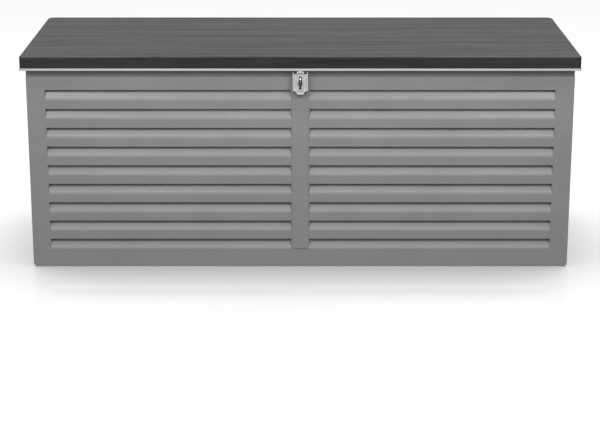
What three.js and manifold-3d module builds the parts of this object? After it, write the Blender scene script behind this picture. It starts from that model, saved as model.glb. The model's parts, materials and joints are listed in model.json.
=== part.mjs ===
// Deck storage box with a hinged lid, a hasp and two gas struts.
// Millimetres. X is the width, the front faces -Y, Z is up and the ground is z = 0.

import * as THREE from 'three';
import { ConvexGeometry } from 'three/addons/geometries/ConvexGeometry.js';
import { mergeVertices } from 'three/addons/utils/BufferGeometryUtils.js';
import Module from 'manifold-3d';

const wasm = await Module();
wasm.setup();

// Overall sizes.
const coverWidth = 1450;
const coverDepth = 575;
const overallHeight = 572;
const sideOverhang = 13.5;
const frontOverhang = 14;
const stapleReach = 12;

// Clearances.
const fitGap = 0.3;
const holeGap = 0.3;
const slideGap = 0.5;

// Lid cover.
const coverSkirt = 31.5;
const coverWall = 3.5;
const coverEdgeRound = 4;
const coverFrontCorner = 8;
const coverBackCorner = 17;

// Lid liner.
const linerWall = 3;
const rimHeight = 5.7;
const rimProud = 1.2;
const linerRibDepth = 12;
const linerRibHalfLength = 620;
const linerRibOverrun = 10;
const linerCrossRibStep = 2;
const linerLongRibs = 5;
const linerCrossRibs = 7;
const linerRibMargin = 70;
const seatRibThick = 4;
const seatRibIn = 11;
const seatRibHalfLength = 600;
const seatRibSideY = [-200, 150];

// Wall panels.
const panelSkin = 4;
const panelFrame = 18;
const edgeBlock = 20;
const faceBelowRim = 18.9;
const neckRecess = 5;
const wallAboveRim = 5.5;
const backWallBelowRim = 4.5;
const plinth = 10;
const bodyCorner = 12;
const tongueThick = 6;
const tongueLength = 8;
const tongueInset = 14;

// Louvre pockets.
const louvreCount = 9;
const louvreBelowFaceTop = 34.9;
const louvreLowest = 51.4;
const louvreHeight = 25.3;
const louvreDepth = 11;
const louvreInnerSlope = 7.5;
const louvreOuterSlope = 3;
const louvreBlend = 4;
const louvreBlendFacets = 3;
const louvreWall = 3.5;
const stileWidth = 47.5;
const postGap = 45;
const postWidth = 43.5;
const postProud = 1;
const postBottom = 50;
const postBelowFaceTop = 34.6;
const postShoulder = 8;

// Floor.
const ledgeTop = 24;
const ledgeThick = 5;
const ledgeReach = 12;
const floorThick = 4;
const floorLongRibs = 4;
const floorCrossRibs = 8;
const floorRibMargin = 40;

// Lid hinges.
const hingeCount = 3;
const hingeSpacing = 480;
const hingeLength = 60;
const hingeBelowRim = 2.5;
const knuckleGap = 0.6;
const knuckleClearance = 1.9;
const hingePlate = 3;
const hingeLeafDown = 49;
const hingeLeafUp = 28;
const knuckleRadius = 4.8;
const hingePinRadius = 2.5;
const hingePinHead = 1.5;
const lidKnuckleHalf = 11;
const lidScrewRise = 20;
const lidScrewX = 20;
const bodyScrewDrops = [23, 41];

// Hasp and staple.
const flapWidth = 39.7;
const flapLength = 58;
const flapChamferDrop = 47.8;
const flapTabWidth = 14.4;
const flapThick = 4;
const flapRimWidth = 2.5;
const flapRimProud = 1.5;
const slotWidth = 8.5;
const slotHeight = 36;
const slotDrop = 27.5;
const slotNarrow = 0.7;
const slotBorder = 3.5;
const slotBorderProud = 0.8;
const haspPinBelowRim = 5;
const haspPinSetback = 4.2;
const haspPinRadius = 1.6;
const haspKnuckleRadius = 3.6;
const haspLugHalf = 5.2;
const haspEarOuter = 9.3;
const stapleThick = 3.4;
const stapleTopDrop = 12.5;
const stapleBaseWidth = 28;
const stapleBaseThick = 2.5;
const stapleBaseDrops = [42.5, 16.5];
const stapleScrewX = 9.5;
const stapleScrewDrop = 29.5;
const stapleEyeRadius = 4;
const stapleEyeDrop = 18.9;
const staplePadDepth = 14;

// Gas struts. Both ball joints lie on one circle about the lid hinge.
const strutCircle = 240;
const strutFootForward = 80;
const strutInset = 18.5;
const ballRadius = 6;
const ballStudRadius = 3.5;
const socketRadius = 9.5;
const socketHalf = 8;
const socketNeckRadius = 6;
const strutSocketLength = 22;
const cylinderRadius = 9;
const cylinderBore = 7.5;
const cylinderEnd = 6;
const cylinderCap = 10;
const strutClosedGap = 22;
const rodRadius = 4;
const pistonRadius = 7;
const pistonLength = 10;
const stubRadius = 3;
const stubLength = 8;
const bracketPlate = 3;
const footPlateHalf = [15, 27];
const footScrewRise = 20;
const footPadMargin = 6;
const headPlateWidth = 48;
const headPlateHalfDepth = 18;
const headTabHalf = 12;
const headTabDrop = 8;
const headScrewY = 11;
const headScrewFromEdge = 12;

// Screws.
const screwRadius = 1.8;
const screwHeadRadius = 4;
const screwHeadHeight = 1.8;
const screwBodyLength = 14;

// Places that follow from the sizes.
const lidCentreY = stapleReach / 2;
const rimFrontY = lidCentreY - coverDepth / 2 - rimProud;
const frontFaceY = lidCentreY - coverDepth / 2 + frontOverhang;
const bodyHalf = coverWidth / 2 - sideOverhang;
const skirtBottom = overallHeight - coverSkirt;
const rimTop = skirtBottom - fitGap;
const rimBottom = rimTop - rimHeight;
const linerTop = overallHeight - coverWall - fitGap;
const ceiling = linerTop - linerWall;
const linerInset = coverWall + fitGap;
const linerInnerInset = linerInset + linerWall;
const linerBackWallY = lidCentreY + coverDepth / 2 - linerInnerInset;
const hingeY = linerBackWallY - fitGap - hingePlate - knuckleGap - knuckleRadius;
const backFaceY = hingeY - knuckleRadius - knuckleClearance - hingePlate - fitGap;
const sideStartY = frontFaceY + panelFrame + fitGap;
const sideEndY = backFaceY - panelFrame - fitGap;
const faceTop = rimBottom - faceBelowRim;
const wallTop = rimBottom + wallAboveRim;
const backWallTop = rimBottom - backWallBelowRim;
const louvreTop = faceTop - louvreBelowFaceTop;
const louvrePitch = (louvreTop - louvreHeight - louvreLowest) / (louvreCount - 1);
const postTop = faceTop - postBelowFaceTop;
const hingeHeight = rimBottom - hingeBelowRim;
const haspPinY = rimFrontY + haspPinSetback;
const haspPinHeight = rimBottom - haspPinBelowRim;
const flapBottom = haspPinHeight - flapLength;
const flapChamferTop = haspPinHeight - flapChamferDrop;
const slotCentre = haspPinHeight - slotDrop;
const stapleTop = haspPinHeight - stapleTopDrop;
const stapleBaseZ = stapleBaseDrops.map((drop) => haspPinHeight - drop);
const stapleScrewZ = haspPinHeight - stapleScrewDrop;
const stapleEyeHeight = haspPinHeight - stapleEyeDrop;
const strutFoot = {
  y: hingeY - strutFootForward,
  z: hingeHeight - Math.sqrt(strutCircle ** 2 - strutFootForward ** 2),
};
const strutHead = { y: hingeY - strutCircle, z: hingeHeight };
const strutLength = Math.hypot(strutHead.y - strutFoot.y, strutHead.z - strutFoot.z);
const strutAngle = Math.atan2(strutHead.z - strutFoot.z, strutHead.y - strutFoot.y);
const footFaceX = bodyHalf - panelFrame;
const strutX = footFaceX - strutInset;
const sides = { left: -1, right: 1 };

// Materials.
function plastic(color, roughness) {
  return new THREE.MeshStandardMaterial({ color, roughness, metalness: 0 });
}

function metal(color, roughness) {
  return new THREE.MeshStandardMaterial({ color, roughness, metalness: 1 });
}

const finishes = {
  cover: plastic(0x3b3c3e, 0.62),
  panel: plastic(0x8b8c8e, 0.55),
  trim: plastic(0xb4b5b6, 0.5),
  hasp: plastic(0xb2b3b4, 0.42),
  socket: plastic(0x1d1d1f, 0.5),
  zinc: metal(0xa9adb0, 0.38),
  steel: metal(0xc9ccd0, 0.2),
  blackSteel: metal(0x2a2b2d, 0.4),
};

// Solids from three.js geometry.
function solid(geometry) {
  const bare = geometry.clone();
  bare.deleteAttribute('normal');
  bare.deleteAttribute('uv');
  const merged = mergeVertices(bare, 1e-4);
  const index = merged.index.array;
  const kept = [];
  for (let i = 0; i < index.length; i += 3) {
    const [a, b, c] = [index[i], index[i + 1], index[i + 2]];
    if (a !== b && b !== c && c !== a) kept.push(a, b, c);
  }
  return new wasm.Manifold(
    new wasm.Mesh({
      numProp: 3,
      vertProperties: Float32Array.from(merged.attributes.position.array),
      triVerts: Uint32Array.from(kept),
    }),
  );
}

function joined(pieces) {
  return pieces.reduce((sum, piece) => sum.add(piece));
}

function cutBy(body, cutters) {
  return cutters.reduce((rest, cutter) => rest.subtract(cutter), body);
}

// A box between two limits on each axis.
function block(x, y, z) {
  const size = [x, y, z].map(([a, b]) => Math.abs(b - a));
  const centre = [x, y, z].map(([a, b]) => (a + b) / 2);
  return solid(new THREE.BoxGeometry(...size).translate(...centre));
}

function around(centre, half) {
  return [centre - half, centre + half];
}

function shapeOf(points) {
  return new THREE.Shape(points.map(([a, b]) => new THREE.Vector2(a, b)));
}

// The outline is in x and z, and the solid runs between two y values.
function prismAlongY(shape, y, curveSegments = 8) {
  const depth = Math.abs(y[1] - y[0]);
  const geometry = new THREE.ExtrudeGeometry(shape, { depth, bevelEnabled: false, curveSegments });
  const turn = new THREE.Matrix4().makeBasis(
    new THREE.Vector3(1, 0, 0),
    new THREE.Vector3(0, 0, 1),
    new THREE.Vector3(0, -1, 0),
  );
  return solid(geometry.applyMatrix4(turn).translate(0, Math.max(...y), 0));
}

// The outline is in y and z, and the solid runs between two x values.
function prismAlongX(shape, x, curveSegments = 8) {
  const depth = Math.abs(x[1] - x[0]);
  const geometry = new THREE.ExtrudeGeometry(shape, { depth, bevelEnabled: false, curveSegments });
  const turn = new THREE.Matrix4().makeBasis(
    new THREE.Vector3(0, 1, 0),
    new THREE.Vector3(0, 0, 1),
    new THREE.Vector3(1, 0, 0),
  );
  return solid(geometry.applyMatrix4(turn).translate(Math.min(...x), 0, 0));
}

function rodAlongX(radius, x, y, z, segments = 16) {
  const length = Math.abs(x[1] - x[0]);
  const geometry = new THREE.CylinderGeometry(radius, radius, length, segments);
  return solid(geometry.rotateZ(Math.PI / 2).translate((x[0] + x[1]) / 2, y, z));
}

function ball(radius, x, y, z) {
  return solid(new THREE.SphereGeometry(radius, 14, 8).translate(x, y, z));
}

// A turned solid: pairs of radius and distance along the axis, which then points along +Y.
function turned(profile, segments = 20) {
  return new THREE.LatheGeometry(profile.map(([r, d]) => new THREE.Vector2(r, d)), segments);
}

// The lid outline seen from above, moved in by an inset.
function lidOutline(inset) {
  const right = coverWidth / 2 - inset;
  const front = lidCentreY - coverDepth / 2 + inset;
  const back = lidCentreY + coverDepth / 2 - inset;
  const near = coverFrontCorner - inset;
  const far = coverBackCorner - inset;
  const shape = new THREE.Shape();
  shape.moveTo(-right + near, front);
  shape.lineTo(right - near, front);
  shape.absarc(right - near, front + near, near, -Math.PI / 2, 0);
  shape.lineTo(right, back - far);
  shape.absarc(right - far, back - far, far, 0, Math.PI / 2);
  shape.lineTo(-right + far, back);
  shape.absarc(-right + far, back - far, far, Math.PI / 2, Math.PI);
  shape.lineTo(-right, front + near);
  shape.absarc(-right + near, front + near, near, Math.PI, Math.PI * 1.5);
  return shape;
}

function lidLayer(inset, z) {
  const depth = z[1] - z[0];
  const options = { depth, bevelEnabled: false, curveSegments: 6 };
  return solid(new THREE.ExtrudeGeometry(lidOutline(inset), options).translate(0, 0, z[0]));
}

function lidCover() {
  const r = coverEdgeRound;
  const rounded = new THREE.ExtrudeGeometry(lidOutline(r), {
    depth: coverSkirt,
    bevelThickness: r,
    bevelSize: r,
    bevelSegments: 3,
    curveSegments: 6,
  }).translate(0, 0, overallHeight - r - coverSkirt);
  const below = lidLayer(-2 * r, [skirtBottom - 3 * r, skirtBottom]);
  const hollow = lidLayer(coverWall, [skirtBottom - 1, overallHeight - coverWall]);
  return cutBy(solid(rounded), [below, hollow]);
}

function linerRibs() {
  const rib = linerWall / 2;
  const top = ceiling + linerWall / 2;
  const longZ = [ceiling - linerRibDepth, top];
  const crossZ = [ceiling - linerRibDepth + linerCrossRibStep, top];
  const frontRib = lidCentreY - coverDepth / 2 + linerRibMargin;
  const backRib = lidCentreY + coverDepth / 2 - linerRibMargin;
  const ribs = [];
  for (let i = 0; i < linerLongRibs; i += 1) {
    const y = THREE.MathUtils.lerp(frontRib, backRib, i / (linerLongRibs - 1));
    ribs.push(block([-linerRibHalfLength, linerRibHalfLength], around(y, rib), longZ));
  }
  for (let i = 0; i < linerCrossRibs; i += 1) {
    const end = linerRibHalfLength - linerRibOverrun;
    const x = THREE.MathUtils.lerp(-end, end, i / (linerCrossRibs - 1));
    ribs.push(block(around(x, rib), [frontRib, backRib], crossZ));
  }
  return ribs;
}

// The ribs that the closed lid rests on, over the front and side walls.
function seatRibs() {
  const half = seatRibThick / 2;
  const z = [wallTop + fitGap, ceiling + 1];
  const sideX = bodyHalf - seatRibIn;
  return [
    block(around(0, seatRibHalfLength), around(frontFaceY + seatRibIn, half), z),
    block(around(-sideX, half), seatRibSideY, z),
    block(around(sideX, half), seatRibSideY, z),
  ];
}

// The lug under the front rim that carries the hasp pin.
function haspLug() {
  const r = haspKnuckleRadius;
  const shape = new THREE.Shape();
  shape.moveTo(haspPinY - r, rimBottom + 1);
  shape.lineTo(haspPinY - r, haspPinHeight);
  shape.absarc(haspPinY, haspPinHeight, r, Math.PI, Math.PI * 2);
  shape.lineTo(haspPinY + r, rimBottom + 1);
  return prismAlongX(shape, around(0, haspLugHalf));
}

function lidLiner() {
  const walls = lidLayer(linerInset, [rimBottom, linerTop]);
  const rim = lidLayer(-rimProud, [rimBottom, rimTop]);
  const hollow = lidLayer(linerInnerInset, [rimBottom - 1, ceiling]);
  const shell = cutBy(walls.add(rim), [hollow]);
  const screws = [...lidScrewPlaces(), ...headScrewPlaces()];
  const whole = joined([shell, ...linerRibs(), ...seatRibs(), haspLug()]);
  return cutBy(whole, [haspPinHole(), ...screws.map(screwHole)]);
}

// Wall panels. A place turns (along the wall, depth in from its face, height) into x, y and z.
const places = {
  front: (u, d, z) => new THREE.Vector3(u, frontFaceY + d, z),
  back: (u, d, z) => new THREE.Vector3(u, backFaceY - d, z),
  left: (u, d, z) => new THREE.Vector3(-bodyHalf + d, u, z),
  right: (u, d, z) => new THREE.Vector3(bodyHalf - d, u, z),
};

function slab(place, u, d, z) {
  const a = place(u[0], d[0], z[0]);
  const b = place(u[1], d[1], z[1]);
  return block([a.x, b.x], [a.y, b.y], [a.z, b.z]);
}

function hull(points) {
  return solid(new ConvexGeometry(points));
}

// A wedge that is as deep as `depth` at its upper edge and ends on the face at its lower edge.
function louvreWedge(place, u, depth, z, margin) {
  const outside = -2 - margin;
  const across = [u[0] - margin, u[1] + margin];
  const points = across.flatMap((at) => [
    place(at, outside, z[0]),
    place(at, outside, z[1]),
    place(at, 0, z[0]),
    place(at, depth, z[1]),
  ]);
  return hull(points);
}

// The straight slope, the rounding that leads it into the face, and the drafted ends.
function louvrePocket(place, { u, ends }, top) {
  const bottom = top - louvreHeight;
  const slope = Math.atan(louvreDepth / louvreHeight);
  const radius = louvreBlend / Math.tan(slope / 2);
  const wedges = [louvreWedge(place, u, louvreDepth, [bottom, top], 1)];
  for (let i = 1; i <= louvreBlendFacets; i += 1) {
    const angle = (slope * i) / (louvreBlendFacets + 1);
    const [steep, gentle] = [Math.tan(slope), Math.tan(angle)];
    const lower = bottom - louvreBlend + radius * Math.tan(angle / 2);
    const upper = (bottom * steep - lower * gentle) / (steep - gentle) + 1;
    wedges.push(louvreWedge(place, u, (upper - lower) * gentle, [lower, upper], 1 + i / 2));
  }
  const draft = [];
  for (const d of [-1, louvreDepth + 1]) {
    const inset = ends.map((end) => (end * d) / louvreDepth);
    for (const z of [bottom - louvreHeight, top + 1]) {
      draft.push(place(u[0] + inset[0], d, z), place(u[1] - inset[1], d, z));
    }
  }
  return joined(wedges).intersect(hull(draft));
}

function louvreBoss(place, { u, ends }, top) {
  const shallow = panelSkin - 0.5;
  const deep = louvreDepth + louvreWall;
  const points = [];
  for (const [end, inward, slope] of [[u[0], 1, ends[0]], [u[1], -1, ends[1]]]) {
    const outer = end - inward;
    const inner = end + inward * (slope - louvreWall);
    points.push(place(outer, shallow, top + louvreWall));
    points.push(place(outer, shallow, top - louvreHeight - 2));
    points.push(place(inner, deep, top + louvreWall));
    points.push(place(inner, deep, top - 2));
  }
  return hull(points);
}

function wallPanel(place, u, top, fields, extras, cutters) {
  const neck = [neckRecess, neckRecess + panelSkin];
  const pieces = [
    slab(place, u, [0, panelSkin], [0, faceTop]),
    slab(place, u, [0, neck[1]], [faceTop - panelSkin, faceTop]),
    slab(place, u, neck, [faceTop - panelSkin, top]),
    slab(place, u, [neckRecess, panelFrame], [top - panelSkin, top]),
    slab(place, u, [0, panelFrame], [0, panelSkin]),
    slab(place, u, [0, plinth], [0, plinth]),
  ];
  for (const edge of [[u[0], u[0] + edgeBlock], [u[1] - edgeBlock, u[1]]]) {
    pieces.push(slab(place, edge, [0, panelFrame], [0, faceTop]));
    pieces.push(slab(place, edge, [neckRecess, panelFrame], [faceTop - 1, top]));
  }
  const pockets = [];
  for (const field of fields) {
    for (let i = 0; i < louvreCount; i += 1) {
      const pocketTop = louvreTop - i * louvrePitch;
      pieces.push(louvreBoss(place, field, pocketTop));
      pockets.push(louvrePocket(place, field, pocketTop));
    }
  }
  const whole = joined([...pieces, ...extras]);
  return cutBy(whole, [...pockets, ...cutters]).intersect(bodySection());
}

// The body seen from the front, with its lower corners rounded.
function bodySection() {
  const r = bodyCorner;
  const shape = new THREE.Shape();
  shape.moveTo(-bodyHalf + r, 0);
  shape.lineTo(bodyHalf - r, 0);
  shape.absarc(bodyHalf - r, r, r, -Math.PI / 2, 0);
  shape.lineTo(bodyHalf, wallTop);
  shape.lineTo(-bodyHalf, wallTop);
  shape.lineTo(-bodyHalf, r);
  shape.absarc(-bodyHalf + r, r, r, Math.PI, Math.PI * 1.5);
  return prismAlongY(shape, [frontFaceY - 5, backFaceY + 5], 6);
}

function floorLedge(place, u) {
  const d = [panelSkin - 1, panelFrame + ledgeReach];
  return slab(place, u, d, [ledgeTop - ledgeThick, ledgeTop]);
}

function centrePost(outerFace, innerFace) {
  const half = postWidth / 2;
  const r = postShoulder;
  const shape = new THREE.Shape();
  shape.moveTo(-half, postBottom);
  shape.lineTo(half, postBottom);
  shape.lineTo(half, postTop - r);
  shape.absarc(half - r, postTop - r, r, 0, Math.PI / 2);
  shape.lineTo(-half + r, postTop);
  shape.absarc(-half + r, postTop - r, r, Math.PI / 2, Math.PI);
  return prismAlongY(shape, [outerFace, innerFace], 5);
}

// Long panels, front and back.
const longWallU = [-bodyHalf, bodyHalf];
const longWallLedge = around(0, bodyHalf - panelFrame - ledgeReach - 1);
const longWallFields = [
  { u: [-bodyHalf + stileWidth, -postGap / 2], ends: [louvreOuterSlope, louvreInnerSlope] },
  { u: [postGap / 2, bodyHalf - stileWidth], ends: [louvreInnerSlope, louvreOuterSlope] },
];

function cornerGrooves(place) {
  const half = tongueThick / 2 + fitGap;
  const d = [panelFrame - tongueLength - 2 * fitGap, panelFrame + 1];
  const z = [tongueInset - fitGap, faceTop - tongueInset + fitGap];
  const centre = bodyHalf - edgeBlock / 2 - 1;
  return [-centre, centre].map((u) => slab(place, around(u, half), d, z));
}

function frontPanel() {
  const padZ = [stapleBaseZ[0], stapleBaseZ[1] - panelSkin];
  const extras = [
    floorLedge(places.front, longWallLedge),
    centrePost(frontFaceY - postProud, frontFaceY + 1),
    slab(places.front, around(0, stapleBaseWidth / 2), [0, staplePadDepth], padZ),
  ];
  const cutters = [...cornerGrooves(places.front), ...stapleScrewPlaces().map(screwHole)];
  return wallPanel(places.front, longWallU, wallTop, longWallFields, extras, cutters);
}

function backPanel() {
  const padZ = [hingeHeight - hingeLeafDown, faceTop];
  const pads = hingeCentres().map((x) =>
    slab(places.back, around(x, hingeLength / 2), [0, panelFrame], padZ),
  );
  const extras = [
    floorLedge(places.back, longWallLedge),
    centrePost(backFaceY + postProud, backFaceY - 1),
    ...pads,
  ];
  const cutters = [...cornerGrooves(places.back), ...bodyScrewPlaces().map(screwHole)];
  return wallPanel(places.back, longWallU, backWallTop, longWallFields, extras, cutters);
}

function sidePanel(side) {
  const place = side < 0 ? places.left : places.right;
  const u = [sideStartY, sideEndY];
  const field = {
    u: [frontFaceY + stileWidth, backFaceY - stileWidth],
    ends: [louvreOuterSlope, louvreOuterSlope],
  };
  const middle = bodyHalf - edgeBlock / 2 - 1;
  const tongueX = around(side * middle, tongueThick / 2);
  const tongueZ = [tongueInset, faceTop - tongueInset];
  const [padHalfY, padHalfZ] = footPlateHalf.map((half) => half + footPadMargin);
  const footPadDepth = [panelSkin - 1, panelFrame];
  const extras = [
    floorLedge(place, [sideStartY + edgeBlock, sideEndY - edgeBlock]),
    block(tongueX, [sideStartY - tongueLength, sideStartY + 1], tongueZ),
    block(tongueX, [sideEndY - 1, sideEndY + tongueLength], tongueZ),
    slab(place, around(strutFoot.y, padHalfY), footPadDepth, around(strutFoot.z, padHalfZ)),
  ];
  return wallPanel(place, u, wallTop, [field], extras, footScrewPlaces(side).map(screwHole));
}

function floorPanel() {
  const inset = panelFrame + fitGap;
  const x = around(0, bodyHalf - inset);
  const y = [frontFaceY + inset, backFaceY - inset];
  const bottom = ledgeTop + fitGap;
  const ribTop = bottom + 1;
  const ribX = bodyHalf - inset - floorRibMargin;
  const ribY = [y[0] + floorRibMargin, y[1] - floorRibMargin];
  const rib = floorThick / 2;
  const pieces = [block(x, y, [bottom, bottom + floorThick])];
  for (let i = 0; i < floorLongRibs; i += 1) {
    const at = THREE.MathUtils.lerp(ribY[0] + rib, ribY[1] - rib, i / (floorLongRibs - 1));
    pieces.push(block([-ribX, ribX], around(at, rib), [0, ribTop]));
  }
  for (let i = 0; i < floorCrossRibs; i += 1) {
    const at = THREE.MathUtils.lerp(-ribX + rib, ribX - rib, i / (floorCrossRibs - 1));
    pieces.push(block(around(at, rib), ribY, [floorThick, ribTop]));
  }
  return joined(pieces);
}

// Screws. A place has its seat under the head, its direction into the work and its length.
function screwPlace(name, seat, direction, length) {
  return { name, seat: new THREE.Vector3(...seat), direction: new THREE.Vector3(...direction), length };
}

function along(geometry, seat, direction) {
  const turn = new THREE.Quaternion().setFromUnitVectors(new THREE.Vector3(0, 1, 0), direction);
  return solid(geometry.applyQuaternion(turn).translate(seat.x, seat.y, seat.z));
}

function screw({ seat, direction, length }) {
  const profile = [
    [0, -screwHeadHeight],
    [screwHeadRadius * 0.7, -screwHeadHeight],
    [screwHeadRadius, -screwHeadHeight * 0.45],
    [screwHeadRadius, 0],
    [screwRadius, 0],
    [screwRadius, length - screwRadius],
    [0, length],
  ];
  return along(turned(profile, 10), seat, direction);
}

function screwHole({ seat, direction, length }) {
  const radius = screwRadius + holeGap;
  const reach = length + 1;
  const geometry = new THREE.CylinderGeometry(radius, radius, reach + 1, 10);
  return along(geometry.translate(0, (reach - 1) / 2, 0), seat, direction);
}

function hingeCentres() {
  return Array.from({ length: hingeCount }, (_, i) => (i - (hingeCount - 1) / 2) * hingeSpacing);
}

function bodyScrewPlaces() {
  const seatY = backFaceY + 2 * fitGap + hingePlate;
  return hingeCentres().flatMap((x, i) =>
    bodyScrewDrops.map((drop, j) => {
      const seat = [x, seatY, hingeHeight - drop];
      return screwPlace(`hinge_${i + 1}_body_screw_${j + 1}`, seat, [0, -1, 0], screwBodyLength);
    }),
  );
}

function lidScrewPlaces() {
  const seatY = linerBackWallY - 2 * fitGap - hingePlate;
  const length = hingePlate + 2 * fitGap + linerWall - 0.5;
  return hingeCentres().flatMap((x, i) =>
    [-1, 1].map((way, j) => {
      const seat = [x + way * lidScrewX, seatY, hingeHeight + lidScrewRise];
      return screwPlace(`hinge_${i + 1}_lid_screw_${j + 1}`, seat, [0, 1, 0], length);
    }),
  );
}

function stapleScrewPlaces() {
  const seatY = frontFaceY - 2 * fitGap - stapleBaseThick;
  return [-1, 1].map((way, j) => {
    const seat = [way * stapleScrewX, seatY, stapleScrewZ];
    return screwPlace(`staple_screw_${j + 1}`, seat, [0, 1, 0], screwBodyLength);
  });
}

function footScrewPlaces(side) {
  const name = side < 0 ? 'left' : 'right';
  const seatX = side * (footFaceX - 2 * fitGap - bracketPlate);
  return [-1, 1].map((way, j) => {
    const seat = [seatX, strutFoot.y, strutFoot.z + way * footScrewRise];
    return screwPlace(`strut_foot_screw_${name}_${j + 1}`, seat, [side, 0, 0], screwBodyLength);
  });
}

function headScrewPlaces() {
  const seatZ = ceiling - 2 * fitGap - bracketPlate;
  const length = bracketPlate + 2 * fitGap + linerWall - 0.5;
  const x = headPlateX()[0] + headScrewFromEdge;
  return Object.entries(sides).flatMap(([name, side]) =>
    [-1, 1].map((way, j) => {
      const seat = [side * x, strutHead.y + way * headScrewY, seatZ];
      return screwPlace(`strut_head_screw_${name}_${j + 1}`, seat, [0, 0, 1], length);
    }),
  );
}

// Hinges.
function knuckle(x) {
  return rodAlongX(knuckleRadius, x, hingeY, hingeHeight);
}

function hingePinHole(x) {
  const half = hingeLength / 2 + 1;
  return rodAlongX(hingePinRadius + holeGap, around(x, half), hingeY, hingeHeight);
}

function hingeBodyLeaf(x) {
  const half = hingeLength / 2;
  const inner = lidKnuckleHalf + fitGap;
  const plateY = [backFaceY + fitGap, backFaceY + fitGap + hingePlate];
  const web = [hingeHeight - 4, hingeHeight + 1];
  const pieces = [block(around(x, half), plateY, [hingeHeight - hingeLeafDown, web[1]])];
  for (const span of [[x - half, x - inner], [x + inner, x + half]]) {
    pieces.push(block(span, [plateY[0], hingeY], web));
    pieces.push(knuckle(span));
  }
  const screws = bodyScrewPlaces().filter((place) => place.seat.x === x);
  return cutBy(joined(pieces), [hingePinHole(x), ...screws.map(screwHole)]);
}

function hingeLidLeaf(x) {
  const half = hingeLength / 2;
  const plateY = [linerBackWallY - fitGap - hingePlate, linerBackWallY - fitGap];
  const span = around(x, lidKnuckleHalf);
  const pieces = [
    block(around(x, half), plateY, [hingeHeight - 3, hingeHeight + hingeLeafUp]),
    block(span, [hingeY, plateY[1]], [hingeHeight - 2, hingeHeight + 3]),
    knuckle(span),
  ];
  const screws = lidScrewPlaces().filter((place) => Math.abs(place.seat.x - x) < half);
  return cutBy(joined(pieces), [hingePinHole(x), ...screws.map(screwHole)]);
}

// A pin with a peened head at each end.
function hingePin(x) {
  const half = hingeLength / 2 + fitGap;
  const shank = rodAlongX(hingePinRadius, around(x, half + 0.5), hingeY, hingeHeight);
  const heads = [-1, 1].map((way) => {
    const span = [x + way * half, x + way * (half + hingePinHead)];
    return rodAlongX(hingePinRadius + 1.2, span, hingeY, hingeHeight);
  });
  return joined([shank, ...heads]);
}

// Hasp.
function haspPinHole() {
  return rodAlongX(haspPinRadius + holeGap, around(0, haspEarOuter + 1), haspPinY, haspPinHeight);
}

// The slot is widest in the middle and has narrower, rounded ends.
function slotOutline() {
  const w = slotWidth / 2;
  const h = slotHeight / 2;
  const rightHalf = [
    [w * slotNarrow * 0.7, -h],
    [w * slotNarrow, -h * 0.85],
    [w * slotNarrow, -h * 0.6],
    [w, 0],
    [w * slotNarrow, h * 0.6],
    [w * slotNarrow, h * 0.85],
    [w * slotNarrow * 0.7, h],
  ];
  const leftHalf = rightHalf.map(([x, z]) => [-x, z]).reverse();
  return shapeOf([...rightHalf, ...leftHalf].map(([x, z]) => [x, z + slotCentre]));
}

function slotBorderOutline() {
  const shape = new THREE.Shape();
  const [w, h] = [slotWidth / 2 + slotBorder, slotHeight / 2 + slotBorder];
  shape.absellipse(0, slotCentre, w, h, 0, Math.PI * 2);
  return shape;
}

function haspFlap() {
  const half = flapWidth / 2;
  const tab = flapTabWidth / 2;
  const back = haspPinY + flapThick / 2;
  const face = haspPinY - flapThick / 2;
  const plateTop = haspPinHeight - haspKnuckleRadius - 1.2;
  const outline = shapeOf([
    [-half, plateTop],
    [-half, flapChamferTop],
    [-tab, flapBottom],
    [tab, flapBottom],
    [half, flapChamferTop],
    [half, plateTop],
  ]);
  const border = prismAlongY(slotBorderOutline(), [face - slotBorderProud, face + 1], 10);
  const pieces = [prismAlongY(outline, [face, back]), border];
  for (const way of [-1, 1]) {
    const ear = [way * (haspLugHalf + fitGap), way * haspEarOuter];
    const rim = [way * (half - flapRimWidth), way * half];
    pieces.push(rodAlongX(haspKnuckleRadius - 0.2, ear, haspPinY, haspPinHeight));
    pieces.push(block(ear, [face, back], [plateTop - 1, haspPinHeight]));
    pieces.push(block(rim, [face - flapRimProud, back], [flapChamferTop, haspPinHeight + 1]));
  }
  const slot = prismAlongY(slotOutline(), [face - 3, back + 1]);
  return cutBy(joined(pieces), [slot, haspPinHole()]);
}

function haspPin() {
  return rodAlongX(haspPinRadius, around(0, haspEarOuter + 0.7), haspPinY, haspPinHeight);
}

function padlockStaple() {
  const baseBack = frontFaceY - fitGap;
  const baseFront = baseBack - stapleBaseThick;
  const tip = rimFrontY - stapleReach;
  const outline = shapeOf([
    [baseBack - 1, stapleTop - 6],
    [baseFront - 4, stapleTop],
    [tip + 3, stapleTop],
    [tip, stapleTop - 3],
    [tip, stapleTop - 10],
    [baseFront - 2, stapleTop - 26],
    [baseBack - 1, stapleTop - 28],
  ]);
  const fin = prismAlongX(outline, around(0, stapleThick / 2));
  const base = block(around(0, stapleBaseWidth / 2), [baseBack, baseFront], stapleBaseZ);
  const eyeY = tip + stapleEyeRadius + 2.1;
  const eye = rodAlongX(stapleEyeRadius, around(0, stapleThick), eyeY, stapleEyeHeight);
  return cutBy(fin.add(base), [eye, ...stapleScrewPlaces().map(screwHole)]);
}

// Gas struts. Their turned pieces are made along +Y from the foot and then leaned.
function leaned(geometry, side) {
  return solid(geometry.rotateX(strutAngle).translate(side * strutX, strutFoot.y, strutFoot.z));
}

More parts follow.
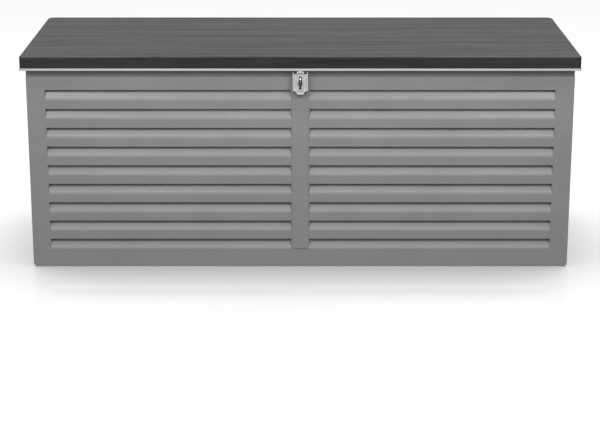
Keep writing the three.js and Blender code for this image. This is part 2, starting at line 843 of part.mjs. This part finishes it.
function strutCylinder(side) {
  const start = strutSocketLength;
  const mouth = strutLength - strutClosedGap;
  const profile = [
    [0, start - stubLength],
    [stubRadius, start - stubLength],
    [stubRadius, start],
    [cylinderRadius, start],
    [cylinderRadius, mouth],
    [rodRadius + slideGap, mouth],
    [rodRadius + slideGap, mouth - cylinderCap],
    [cylinderBore, mouth - cylinderCap],
    [cylinderBore, start + cylinderEnd],
    [0, start + cylinderEnd],
  ];
  return leaned(turned(profile), side);
}

function strutRod(side) {
  const tip = strutSocketLength + cylinderEnd + 3;
  const shoulder = strutLength - strutSocketLength + 4;
  const profile = [
    [0, tip],
    [pistonRadius, tip],
    [pistonRadius, tip + pistonLength],
    [rodRadius, tip + pistonLength],
    [rodRadius, shoulder],
    [stubRadius, shoulder],
    [stubRadius, shoulder + stubLength],
    [0, shoulder + stubLength],
  ];
  return leaned(turned(profile), side);
}

// An end socket: a cup over the ball, with a neck towards the strut.
function strutSocket(side, centre, angle, neckEnd) {
  const cup = rodAlongX(socketRadius, around(side * strutX, socketHalf), centre.y, centre.z);
  const neck = new THREE.CylinderGeometry(socketNeckRadius, socketNeckRadius, neckEnd, 14);
  const boreRadius = stubRadius + holeGap;
  const bore = new THREE.CylinderGeometry(boreRadius, boreRadius, stubLength + 1, 20);
  neck.translate(0, neckEnd / 2, 0);
  bore.translate(0, neckEnd - (stubLength + 1) / 2 + 0.5, 0);
  const [neckSolid, boreSolid] = [neck, bore].map((geometry) =>
    solid(geometry.rotateX(angle).translate(side * strutX, centre.y, centre.z)),
  );
  const cavity = ball(ballRadius + fitGap, side * strutX, centre.y, centre.z);
  const mouth = [side * strutX, side * (strutX + socketHalf + 1)];
  const opening = rodAlongX(ballStudRadius + 1.5, mouth, centre.y, centre.z);
  return cutBy(cup.add(neckSolid), [boreSolid, cavity, opening]);
}

function strutFootSocket(side) {
  return strutSocket(side, strutFoot, strutAngle, strutSocketLength - fitGap);
}

function strutHeadSocket(side) {
  return strutSocket(side, strutHead, strutAngle + Math.PI, strutSocketLength - 4 - fitGap);
}

function ballStud(side, centre, plateX) {
  const stud = rodAlongX(ballStudRadius, [side * strutX, plateX], centre.y, centre.z);
  return stud.add(ball(ballRadius, side * strutX, centre.y, centre.z));
}

function strutFootBracket(side) {
  const outer = side * (footFaceX - fitGap);
  const inner = side * (footFaceX - fitGap - bracketPlate);
  const [halfY, halfZ] = footPlateHalf;
  const plate = block([inner, outer], around(strutFoot.y, halfY), around(strutFoot.z, halfZ));
  const bracket = plate.add(ballStud(side, strutFoot, side * (footFaceX - 1)));
  return cutBy(bracket, footScrewPlaces(side).map(screwHole));
}

function headPlateX() {
  const outer = footFaceX - bracketPlate;
  return [outer - headPlateWidth, outer];
}

function strutHeadBracket(side) {
  const [inner, outer] = headPlateX();
  const top = ceiling - fitGap;
  const plateX = [side * inner, side * outer];
  const plate = block(plateX, around(strutHead.y, headPlateHalfDepth), [top - bracketPlate, top]);
  const tabX = [side * (outer - bracketPlate), side * outer];
  const tab = block(tabX, around(strutHead.y, headTabHalf), [strutHead.z - headTabDrop, top - 1]);
  const bracket = joined([plate, tab, ballStud(side, strutHead, side * (outer - 1))]);
  return cutBy(bracket, headScrewPlaces().map(screwHole));
}

// Assembly.
const assembly = new THREE.Group();
assembly.name = 'deck_storage_box';

function addPart(name, body, material) {
  const mesh = body.getMesh();
  const geometry = new THREE.BufferGeometry();
  geometry.setAttribute('position', new THREE.BufferAttribute(Float32Array.from(mesh.vertProperties), 3));
  geometry.setIndex(new THREE.BufferAttribute(Uint32Array.from(mesh.triVerts), 1));
  const part = new THREE.Mesh(geometry, material);
  part.name = name;
  assembly.add(part);
}

addPart('lid_cover', lidCover(), finishes.cover);
addPart('lid_liner', lidLiner(), finishes.trim);
addPart('front_panel', frontPanel(), finishes.panel);
addPart('back_panel', backPanel(), finishes.panel);
addPart('floor_panel', floorPanel(), finishes.panel);
addPart('hasp_flap', haspFlap(), finishes.hasp);
addPart('hasp_pin', haspPin(), finishes.zinc);
addPart('padlock_staple', padlockStaple(), finishes.zinc);

hingeCentres().forEach((x, i) => {
  addPart(`hinge_${i + 1}_body_leaf`, hingeBodyLeaf(x), finishes.zinc);
  addPart(`hinge_${i + 1}_lid_leaf`, hingeLidLeaf(x), finishes.zinc);
  addPart(`hinge_${i + 1}_pin`, hingePin(x), finishes.zinc);
});

for (const [name, side] of Object.entries(sides)) {
  addPart(`side_panel_${name}`, sidePanel(side), finishes.panel);
  addPart(`strut_cylinder_${name}`, strutCylinder(side), finishes.blackSteel);
  addPart(`strut_rod_${name}`, strutRod(side), finishes.steel);
  addPart(`strut_foot_socket_${name}`, strutFootSocket(side), finishes.socket);
  addPart(`strut_head_socket_${name}`, strutHeadSocket(side), finishes.socket);
  addPart(`strut_foot_bracket_${name}`, strutFootBracket(side), finishes.zinc);
  addPart(`strut_head_bracket_${name}`, strutHeadBracket(side), finishes.zinc);
}

const screwPlaces = [
  ...bodyScrewPlaces(),
  ...lidScrewPlaces(),
  ...stapleScrewPlaces(),
  ...headScrewPlaces(),
  ...Object.values(sides).flatMap(footScrewPlaces),
];
for (const place of screwPlaces) addPart(place.name, screw(place), finishes.zinc);

export default assembly;
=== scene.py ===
import json
import math

import bmesh
import bpy
from mathutils import Matrix, Vector

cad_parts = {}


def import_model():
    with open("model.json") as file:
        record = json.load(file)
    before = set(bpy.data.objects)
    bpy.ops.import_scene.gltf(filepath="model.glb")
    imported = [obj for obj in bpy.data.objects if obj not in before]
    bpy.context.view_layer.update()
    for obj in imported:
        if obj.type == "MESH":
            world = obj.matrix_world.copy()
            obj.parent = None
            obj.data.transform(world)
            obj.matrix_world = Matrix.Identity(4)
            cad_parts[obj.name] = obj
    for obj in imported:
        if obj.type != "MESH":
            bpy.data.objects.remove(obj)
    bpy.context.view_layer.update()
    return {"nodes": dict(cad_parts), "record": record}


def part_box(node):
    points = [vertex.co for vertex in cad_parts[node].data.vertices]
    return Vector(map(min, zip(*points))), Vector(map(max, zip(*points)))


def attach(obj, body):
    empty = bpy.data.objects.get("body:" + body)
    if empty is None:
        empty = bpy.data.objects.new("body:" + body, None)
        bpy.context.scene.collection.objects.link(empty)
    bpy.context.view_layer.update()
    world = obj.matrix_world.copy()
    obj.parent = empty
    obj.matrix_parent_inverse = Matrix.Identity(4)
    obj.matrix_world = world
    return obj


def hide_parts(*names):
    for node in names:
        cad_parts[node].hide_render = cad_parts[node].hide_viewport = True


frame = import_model()

# Materials. Texture coordinates are the object's own, in metres.


class Shader:
    """A material with one Principled shader, and short calls for the nodes before it."""

    def __init__(self, name, **constants):
        self.material = bpy.data.materials.new(name)
        self.material.use_nodes = True
        self.tree = self.material.node_tree
        self.tree.nodes.clear()
        self.output = self.node("ShaderNodeOutputMaterial")
        self.principled = self.node("ShaderNodeBsdfPrincipled", constants)
        self.link(self.principled.outputs[0], self.output.inputs[0])
        self.coordinates = self.node("ShaderNodeTexCoord").outputs["Object"]

    def link(self, source, target):
        self.tree.links.new(source, target)

    def node(self, kind, inputs=None, **settings):
        made = self.tree.nodes.new(kind)
        for key, value in settings.items():
            setattr(made, key, value)
        for key, value in (inputs or {}).items():
            if isinstance(value, bpy.types.NodeSocket):
                self.link(value, made.inputs[key])
            else:
                made.inputs[key].default_value = value
        return made

    def scaled(self, scale, offset=(0, 0, 0)):
        inputs = {"Vector": self.coordinates, "Scale": scale, "Location": offset}
        return self.node("ShaderNodeMapping", inputs).outputs[0]

    def noise(self, scale, detail=2.0, roughness=0.5, offset=(0, 0, 0), distortion=0.0):
        inputs = {
            "Vector": self.scaled(scale, offset),
            "Scale": 1.0,
            "Detail": detail,
            "Roughness": roughness,
            "Distortion": distortion,
        }
        return self.node("ShaderNodeTexNoise", inputs).outputs["Fac"]

    def voronoi(self, scale):
        inputs = {"Vector": self.scaled(scale), "Scale": 1.0}
        return self.node("ShaderNodeTexVoronoi", inputs).outputs

    def math(self, operation, first, second=0.0, third=0.0):
        inputs = {0: first, 1: second, 2: third}
        return self.node("ShaderNodeMath", inputs, operation=operation).outputs[0]

    def spread(self, value, low, high, to_low=0.0, to_high=1.0):
        """value with low to high stretched over to_low to to_high, and clamped."""
        inputs = {0: value, 1: low, 2: high, 3: to_low, 4: to_high}
        return self.node("ShaderNodeMapRange", inputs).outputs[0]

    def grey(self, value, tint):
        """A colour that is tint times value."""
        parts = {i: self.math("MULTIPLY", value, tint[i]) for i in range(3)}
        return self.node("ShaderNodeCombineColor", parts).outputs[0]

    def rounded(self, radius):
        """A normal that runs round each edge with this radius."""
        inputs = {"Radius": radius}
        return self.node("ShaderNodeBevel", inputs, samples=6).outputs[0]

    def edges(self, rounded):
        """1 on outer and inner edges, 0 on flat faces."""
        flat = self.node("ShaderNodeNewGeometry").outputs["True Normal"]
        inputs = {0: rounded, 1: flat}
        dot = self.node("ShaderNodeVectorMath", inputs, operation="DOT_PRODUCT")
        return self.spread(self.math("SUBTRACT", 1.0, dot.outputs["Value"]), 0.01, 0.16)

    def bump(self, height, distance, normal):
        inputs = {"Height": height, "Distance": distance, "Strength": 1.0, "Normal": normal}
        return self.node("ShaderNodeBump", inputs).outputs[0]

    def finish(self, **sockets):
        """Links each source to the Principled socket of that name, and gives the material."""
        for name, source in sockets.items():
            self.link(source, self.principled.inputs[name.replace("_", " ")])
        return self.material


def resin(name, albedo, tint, shine=(0.44, 0.60), edge_radius=0.0012, wear=0.10):
    """Moulded resin: satin grain, faint mottling, painted shade darkening tight corners and gaps,
    edges rubbed lighter.
    """
    shader = Shader(name)
    fine = shader.noise((950,) * 3, 3, 0.6)
    soft = shader.noise((240,) * 3, 2, 0.5, (3, 1, 2))
    cloud = shader.noise((7, 7, 11), 4, 0.55, (5, 2, 9))
    flow = shader.noise((1.6, 5, 9), 3, 0.5, (1, 7, 3), 0.6)
    rounded = shader.rounded(edge_radius)
    edge = shader.math("MULTIPLY", shader.edges(rounded), shader.spread(soft, 0.3, 0.6, 0.35, 1.0))
    tone = shader.spread(cloud, 0.25, 0.75, albedo * 0.955, albedo * 1.045)
    tone = shader.math("MULTIPLY", tone, shader.spread(flow, 0.25, 0.75, 0.975, 1.025))
    tone = shader.math("MULTIPLY", tone, shader.spread(fine, 0.2, 0.8, 0.965, 1.035))
    # Painted shade: the colour is darkened wherever ambient occlusion finds nearby surfaces, in
    # corners, in gaps and under the lid's rim.
    painted_shade_ao = shader.node("ShaderNodeAmbientOcclusion", {"Distance": 0.014}).outputs["AO"]
    tone = shader.math("MULTIPLY", tone, shader.spread(painted_shade_ao, 0.13, 0.57, 0.30, 1.0))
    tone = shader.math("MULTIPLY_ADD", edge, wear * albedo, tone)
    gloss = shader.spread(cloud, 0.2, 0.8, shine[0], shine[1])
    gloss = shader.math("ADD", gloss, shader.spread(soft, 0.2, 0.8, -0.03, 0.03))
    gloss = shader.math("MULTIPLY_ADD", edge, -0.08, gloss)
    normal = shader.bump(soft, 0.00012, rounded)
    normal = shader.bump(fine, 0.00007, normal)
    return shader.finish(Base_Color=shader.grey(tone, tint), Roughness=gloss, Normal=normal)


def grained(name, albedo, tint):
    """Dark resin moulded with a fine wood grain that runs along X."""
    constants = {"Anisotropic": 0.85, "Anisotropic Rotation": 0.25, "Specular IOR Level": 0.22}
    shader = Shader(name, **constants)
    band = shader.noise((1.6, 62, 62), 3, 0.55, (6, 1, 3), 0.3)
    long_wave = shader.noise((0.9, 14, 14), 2, 0.5, (4, 2, 6), 0.5)
    streak = shader.noise((3.2, 170, 170), 5, 0.62, (2, 9, 4), 0.35)
    hair = shader.noise((14, 780, 780), 3, 0.6, (7, 3, 1))
    fine = shader.noise((1100,) * 3, 2, 0.6)
    cloud = shader.noise((5, 9, 9), 4, 0.55, (8, 2, 5))
    rounded = shader.rounded(0.0018)
    edge = shader.math("MULTIPLY", shader.edges(rounded), shader.spread(streak, 0.3, 0.6, 0.3, 1.0))
    pore = shader.spread(hair, 0.36, 0.50)
    grain = shader.math("MULTIPLY", shader.spread(streak, 0.30, 0.70), 0.38)
    grain = shader.math("MULTIPLY_ADD", shader.spread(band, 0.30, 0.70), 0.34, grain)
    grain = shader.math("MULTIPLY_ADD", pore, 0.28, grain)
    tone = shader.spread(grain, 0.2, 0.8, albedo * 0.25, albedo * 1.85)
    tone = shader.math("MULTIPLY", tone, shader.spread(long_wave, 0.3, 0.7, 0.965, 1.035))
    tone = shader.math("MULTIPLY", tone, shader.spread(cloud, 0.25, 0.75, 0.97, 1.03))
    tone = shader.math("MULTIPLY_ADD", edge, 0.25 * albedo, tone)
    gloss = shader.spread(grain, 0.2, 0.8, 0.58, 0.36)
    gloss = shader.math("ADD", gloss, shader.spread(cloud, 0.2, 0.8, -0.04, 0.04))
    normal = shader.bump(grain, 0.00028, rounded)
    normal = shader.bump(fine, 0.00006, normal)
    along = shader.node("ShaderNodeCombineXYZ", {"X": 1.0}).outputs[0]
    colour = shader.grey(tone, tint)
    return shader.finish(Base_Color=colour, Roughness=gloss, Normal=normal, Tangent=along)


def metal(name, albedo, tint, shine, brush, spangle=0.0):
    """Metal with fine brush lines, faint blotches and edges polished brighter."""
    shader = Shader(name, Metallic=1.0)
    lines = shader.noise(brush, 3, 0.6, (2, 5, 1))
    blotch = shader.noise((60,) * 3, 4, 0.6, (3, 1, 8))
    fine = shader.noise((1500,) * 3, 2, 0.6)
    rounded = shader.rounded(0.0004)
    edge = shader.math("MULTIPLY", shader.edges(rounded), shader.spread(blotch, 0.3, 0.6, 0.4, 1.0))
    cells = shader.node("ShaderNodeSeparateColor", {0: shader.voronoi((260,) * 3)["Color"]})
    cell = cells.outputs[0]
    tone = shader.spread(cell, 0, 1, albedo * (1 - spangle), albedo * (1 + spangle))
    tone = shader.math("MULTIPLY", tone, shader.spread(blotch, 0.25, 0.75, 0.93, 1.05))
    tone = shader.math("MULTIPLY", tone, shader.spread(lines, 0.2, 0.8, 0.96, 1.04))
    tone = shader.math("MULTIPLY_ADD", edge, 0.12 * albedo, tone)
    gloss = shader.spread(blotch, 0.2, 0.8, shine[0], shine[1])
    gloss = shader.math("ADD", gloss, shader.spread(cell, 0, 1, -spangle / 4, spangle / 4))
    normal = shader.bump(lines, 0.00003, rounded)
    normal = shader.bump(fine, 0.00002, normal)
    return shader.finish(Base_Color=shader.grey(tone, tint), Roughness=gloss, Normal=normal)


def painted(name, albedo, tint):
    """Gloss paint with faint orange peel and a few rubbed edges."""
    shader = Shader(name)
    peel = shader.noise((420,) * 3, 2, 0.5)
    dust = shader.noise((38,) * 3, 5, 0.6, (4, 1, 7))
    rounded = shader.rounded(0.0005)
    edge = shader.math("MULTIPLY", shader.edges(rounded), shader.spread(dust, 0.4, 0.6))
    tone = shader.spread(dust, 0.3, 0.8, albedo * 0.85, albedo * 1.3)
    tone = shader.math("MULTIPLY_ADD", edge, albedo, tone)
    gloss = shader.spread(dust, 0.25, 0.75, 0.26, 0.42)
    normal = shader.bump(peel, 0.00003, rounded)
    return shader.finish(Base_Color=shader.grey(tone, tint), Roughness=gloss, Normal=normal)


NEUTRAL = (1.0, 1.0, 1.0)
finishes = {
    "cover": grained("cover_resin", 0.027, (0.985, 1.0, 1.02)),
    "liner": resin("trim_resin", 0.56, NEUTRAL),
    "panel": resin("panel_resin", 0.29, (0.995, 1.0, 1.005), shine=(0.29, 0.36)),
    "hasp": resin("hasp_resin", 0.58, NEUTRAL, shine=(0.34, 0.46), edge_radius=0.0006),
    "socket": resin("black_resin", 0.020, NEUTRAL, shine=(0.38, 0.5), edge_radius=0.0005, wear=0.6),
    "zinc": metal("zinc_plate", 0.56, (0.98, 1.0, 1.02), (0.46, 0.60), (500, 500, 60), 0.10),
    "rod_steel": metal("polished_rod", 0.72, (1.0, 1.0, 1.01), (0.10, 0.20), (40, 900, 900)),
    "black_steel": painted("black_paint", 0.022, (1.0, 1.0, 1.04)),
}
for part in frame["record"]["subparts"]:
    for held in frame["nodes"][part["node"]].material_slots:
        held.material = finishes[part["material_slot"]]

# Pieces that stand for plainer CAD solids.

MM = 0.001
SCREW_SIDES = 24


def centre(node):
    low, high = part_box(node)
    return Vector([(a + b) / 2 for a, b in zip(low, high)])


def piece(name, mesh_maker, slot, body, node, bevel=None):
    """A mesh that shows in place of a CAD node, rides on its body and has its slot's material."""
    mesh = bpy.data.meshes.new(name)
    made = bpy.data.objects.new(name, mesh)
    bpy.context.scene.collection.objects.link(made)
    maker = bmesh.new()
    mesh_maker(maker)
    bmesh.ops.recalc_face_normals(maker, faces=maker.faces)
    maker.to_mesh(mesh)
    maker.free()
    mesh.materials.append(finishes[slot])
    for polygon in mesh.polygons:
        polygon.use_smooth = True
    if bevel:
        rounding = made.modifiers.new("rounding", "BEVEL")
        rounding.width, rounding.segments = bevel, 3
        rounding.limit_method = "ANGLE"
        rounding.angle_limit = math.radians(28)
        rounding.harden_normals = True
    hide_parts(node)
    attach(made, body)
    return made


def plate(maker, loops, start, end):
    """A plate with holes. Each loop is a list of (x, z) in metres; y runs from start to end."""
    edges = []
    for loop in loops:
        corners = [maker.verts.new((x, start, z)) for x, z in loop]
        edges += [maker.edges.new((a, b)) for a, b in zip(corners, corners[1:] + corners[:1])]
    filled = bmesh.ops.triangle_fill(maker, use_beauty=True, use_dissolve=False, edges=edges)
    faces = [f for f in filled["geom"] if isinstance(f, bmesh.types.BMFace)]
    grown = bmesh.ops.extrude_face_region(maker, geom=faces)
    moved = [v for v in grown["geom"] if isinstance(v, bmesh.types.BMVert)]
    bmesh.ops.translate(maker, verts=moved, vec=(0, end - start, 0))


def bar(maker, outline, start, end):
    """A bar along X whose section is a convex list of (y, z) in metres."""
    rings = [[maker.verts.new((x, y, z)) for y, z in outline] for x in (start, end)]
    maker.faces.new(rings[0])
    maker.faces.new(rings[1])
    for i in range(len(outline)):
        j = (i + 1) % len(outline)
        maker.faces.new((rings[0][i], rings[0][j], rings[1][j], rings[1][i]))


def smooth_loop(points):
    """Closed Catmull-Rom curve through the points."""
    out = []
    count, steps = len(points), 6
    for i in range(count):
        p = [Vector(points[(i + k - 1) % count]) for k in range(4)]
        for step in range(steps):
            t = step / steps
            out.append(
                0.5
                * (
                    2 * p[1]
                    + (p[2] - p[0]) * t
                    + (2 * p[0] - 5 * p[1] + 4 * p[2] - p[3]) * t * t
                    + (3 * p[1] - p[0] - 3 * p[2] + p[3]) * t**3
                )
            )
    return [tuple(v) for v in out]


def hasp_flap():
    """The moulded flap: a plate with raised rims, a ring round its slot and two knuckles."""
    low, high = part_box("hasp_flap")
    pin = centre("hasp_pin")
    half = (high[0] - low[0]) / 2
    top, bottom = pin.z - 4.6 * MM, low[2]
    back, face, rim_face = pin.y + 2 * MM, pin.y - 1.4 * MM, low[1]
    ring_face = rim_face + 0.3 * MM
    slot_middle, slot_reach = pin.z - 27.5 * MM, 18 * MM
    rim_width, ring_width, slot_clearance = 2.9 * MM, 3.2 * MM, 0.4 * MM
    knuckle_radius, knuckle_span = 3.4 * MM, (5.6 * MM, 9.2 * MM)

    def outline(inset):
        """The lower edge steps in, slopes down and ends in a tab."""
        tab, step = 7.6 * MM - inset * 0.45, 12.2 * MM - inset * 0.55
        edge = bottom + 9.6 * MM + inset
        right = [(half - inset, edge + 0.9 * MM), (step, edge - 1.4 * MM), (tab, bottom + inset)]
        return [(-x, z) for x, z in right] + right[::-1]

    def lens(grow):
        """The slot's outline, wider in the middle, grown on every side."""
        shape = [(0, -18.2), (3.3, -16.6), (3.2, -10.5), (5.2, -1)]
        shape += [(3.2, 10), (3.2, 16.4), (0, 18.2)]
        taller = 1 + grow / slot_reach
        right = [(x * MM + (grow if x else 0), slot_middle + z * MM * taller) for x, z in shape]
        return smooth_loop(right + [(-x, z) for x, z in right[-2:0:-1]])

    def make(maker):
        rim = outline(0)
        slotted = [[(-half, top), (half, top)] + rim[::-1], lens(slot_clearance)]
        plate(maker, slotted, face, back)
        upper = high[2] - 2.6 * MM
        band = [(-half, upper)] + rim + [(half, upper), (half - rim_width, upper)]
        band += outline(rim_width)[::-1] + [(-half + rim_width, upper)]
        plate(maker, [band], rim_face, back - 0.2 * MM)
        plate(maker, [lens(ring_width), lens(0)], ring_face, back - 0.3 * MM)
        section = []
        for degrees in range(-30, 211, 20):
            angle = math.radians(degrees)
            y, z = knuckle_radius * math.cos(angle), knuckle_radius * math.sin(angle)
            section.append((pin.y + y, pin.z + z))
        section += [(face - 1.0 * MM, top - 3 * MM), (back, top - 3 * MM)]
        for way in (-1, 1):
            bar(maker, section, way * knuckle_span[0], way * knuckle_span[1])

    piece("hasp_flap_moulded", make, "hasp", "hasp", "hasp_flap", bevel=0.45 * MM)


def screw(node, body):
    """A pan-head screw with a cross recess, laid where the CAD screw lies.

    The head holds most of a screw's surface, so the surface's middle leans toward it.
    """
    low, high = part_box(node)
    middle, size = (low + high) / 2, high - low
    faces = frame["nodes"][node].data.polygons
    area = sum(face.area for face in faces)
    lean = sum((face.center * face.area for face in faces), Vector((0, 0, 0))) / area - middle
    axis = max(range(3), key=lambda i: abs(lean[i]))
    outward = Vector((0, 0, 0))
    outward[axis] = math.copysign(1, lean[axis])
    length = size[axis]
    head = min(size[i] for i in range(3) if i != axis) / 2
    turn = Vector((0, 0, 1)).rotation_difference(outward).to_matrix().to_4x4()
    place = Matrix.Translation(middle + outward * length / 2) @ turn
    cross = [0.56 if i % 6 in (0, 1, 5) else 0.2 for i in range(SCREW_SIDES)]

    def circle(radius):
        return [radius] * SCREW_SIDES

    # Radii and depth of each ring in head radii, from the floor of the recess to the point.
    depth = length / head
    rings = [
        ([0.62 * radius for radius in cross], 0.26),
        (cross, 0.015),
        (circle(0.66), 0.02),
        (circle(0.88), 0.12),
        (circle(1.0), 0.28),
        (circle(1.0), 0.45),
        (circle(0.44), 0.45),
        (circle(0.44), depth - 0.4),
        (circle(0.05), depth),
    ]

    def make(maker):
        made = []
        for radii, down in rings:
            ring = []
            for i, radius in enumerate(radii):
                angle = 2 * math.pi * i / SCREW_SIDES
                at = Vector((radius * math.cos(angle), radius * math.sin(angle), -down))
                ring.append(maker.verts.new(place @ (at * head)))
            made.append(ring)
        maker.faces.new(made[0])
        maker.faces.new(made[-1])
        for a, b in zip(made, made[1:]):
            for i in range(SCREW_SIDES):
                j = (i + 1) % SCREW_SIDES
                maker.faces.new((a[i], a[j], b[j], b[i]))

    done = piece(node + "_cross", make, "zinc", body, node)
    for polygon in done.data.polygons:
        polygon.use_smooth = False


# Floor, light and camera.


# The sky's brightness by height, from straight down (0) to straight up (1).
SKY = [(0.0, 0.10), (0.48, 0.10), (0.52, 0.45), (1.0, 0.40)]
FLOOR_HALF = 30.0
LENS, SENSOR = 106.51, 36.0
CAMERA_PLACE = (-0.0008, -4.779, 1.4725)
CAMERA_DOWN = 16.6
SUN_PLACE, SUN_STRENGTH, SUN_ANGLE = (0.0, 0.55, 3.4), 4.1, 62
# Each area light: name, place, target, size in metres and power in watts.
WASH = ("centre", (0.0, -1.2, 1.05), (0.0, -0.27, 0.35), (0.6, 0.25), 2.8)
PAIRED = [
    ("near", (0.95, -1.3, 1.5), (0.6, -0.27, 0.4), (0.3, 0.25), 4.9),
    ("high", (1.0, -2.1, 2.45), (0.45, -0.27, 0.25), (0.7, 0.5), 11),
    ("side", (2.5, -2.0, 0.9), (0.0, -0.27, 0.3), (0.6, 0.8), 6),
]


def floor():
    """A pale floor that gives the box no bounced light and isn't seen in its gloss."""
    shader = Shader("pale_floor", **{"Roughness": 0.08, "Specular IOR Level": 0.6})
    cloud = shader.noise((2.2, 2.2, 1), 4, 0.5)
    tone = shader.spread(cloud, 0.2, 0.8, 0.765, 0.785)
    shader.finish(Base_Color=shader.grey(tone, NEUTRAL))
    mesh = bpy.data.meshes.new("floor")
    corners = [(x * FLOOR_HALF, y * FLOOR_HALF, 0) for x, y in [(-1, -1), (1, -1), (1, 1), (-1, 1)]]
    mesh.from_pydata(corners, [], [(0, 1, 2, 3)])
    mesh.materials.append(shader.material)
    made = bpy.data.objects.new("floor", mesh)
    made.visible_diffuse = made.visible_glossy = False
    bpy.context.scene.collection.objects.link(made)
    return made


def world():
    """A plain sky whose brightness depends on the height alone."""
    made = bpy.data.worlds.new("studio")
    bpy.context.scene.world = made
    made.use_nodes = True
    tree = made.node_tree
    tree.nodes.clear()
    output = tree.nodes.new("ShaderNodeOutputWorld")
    background = tree.nodes.new("ShaderNodeBackground")
    coordinates = tree.nodes.new("ShaderNodeTexCoord")
    split = tree.nodes.new("ShaderNodeSeparateXYZ")
    ramp = tree.nodes.new("ShaderNodeValToRGB")
    rise = tree.nodes.new("ShaderNodeMapRange")
    rise.inputs[1].default_value = -1.0
    tree.links.new(coordinates.outputs["Generated"], split.inputs[0])
    tree.links.new(split.outputs["Z"], rise.inputs[0])
    tree.links.new(rise.outputs[0], ramp.inputs[0])
    tree.links.new(ramp.outputs[0], background.inputs["Color"])
    tree.links.new(background.outputs[0], output.inputs[0])
    points = ramp.color_ramp.elements
    for index, (place, value) in enumerate(SKY):
        point = points[index] if index < 2 else points.new(place)
        point.position = place
        point.color = (value, value, value, 1)


def aimed(data, name, place, target):
    """A lamp at place that points at target."""
    made = bpy.data.objects.new(name, data)
    bpy.context.scene.collection.objects.link(made)
    made.location = place
    direction = [t - p for t, p in zip(target, place)]
    made.rotation_euler = Vector(direction).to_track_quat("-Z", "Y").to_euler()
    return made


def flag(name, shaded):
    """A collection that keeps a light off the objects in it."""
    made = bpy.data.collections.new(name)
    for index, item in enumerate(shaded):
        made.objects.link(item)
        made.collection_objects[index].light_linking.link_state = "EXCLUDE"
    return made


def area_light(name, place, target, size, power, receivers):
    data = bpy.data.lights.new(name, "AREA")
    data.shape = "RECTANGLE"
    data.size, data.size_y = size
    data.energy = power
    lamp = aimed(data, name, place, target)
    lamp.light_linking.receiver_collection = receivers
    return lamp


def sun_light(name, place, strength, angle):
    data = bpy.data.lights.new(name, "SUN")
    data.energy = strength
    data.angle = math.radians(angle)
    aimed(data, name, place, (0, 0, 0))


def camera():
    data = bpy.data.cameras.new("camera")
    data.sensor_width = SENSOR
    data.lens = LENS
    data.clip_end = 100.0
    made = bpy.data.objects.new("camera", data)
    made.location = CAMERA_PLACE
    made.rotation_euler = (math.radians(90 - CAMERA_DOWN), 0, 0)
    bpy.context.scene.collection.objects.link(made)
    bpy.context.scene.camera = made


hasp_flap()
for body, nodes in frame["record"]["behaviour"]["bodies"].items():
    for node in nodes:
        if "screw" in node:
            screw(node, body)
ground = floor()
off_floor = flag("off_floor", [ground])
off_lid = flag("off_lid", [ground, frame["nodes"]["lid_cover"]])
world()
camera()
sun_light("high_sun", SUN_PLACE, SUN_STRENGTH, SUN_ANGLE)
wash = area_light(*WASH, off_lid)
wash.visible_glossy = False
for side in (-1, 1):
    for name, place, target, size, power in PAIRED:
        ends = [(side * x, y, z) for x, y, z in (place, target)]
        area_light(f"{name}_{side}", *ends, size, power, off_floor)
bpy.context.scene.view_settings.view_transform = "Standard"
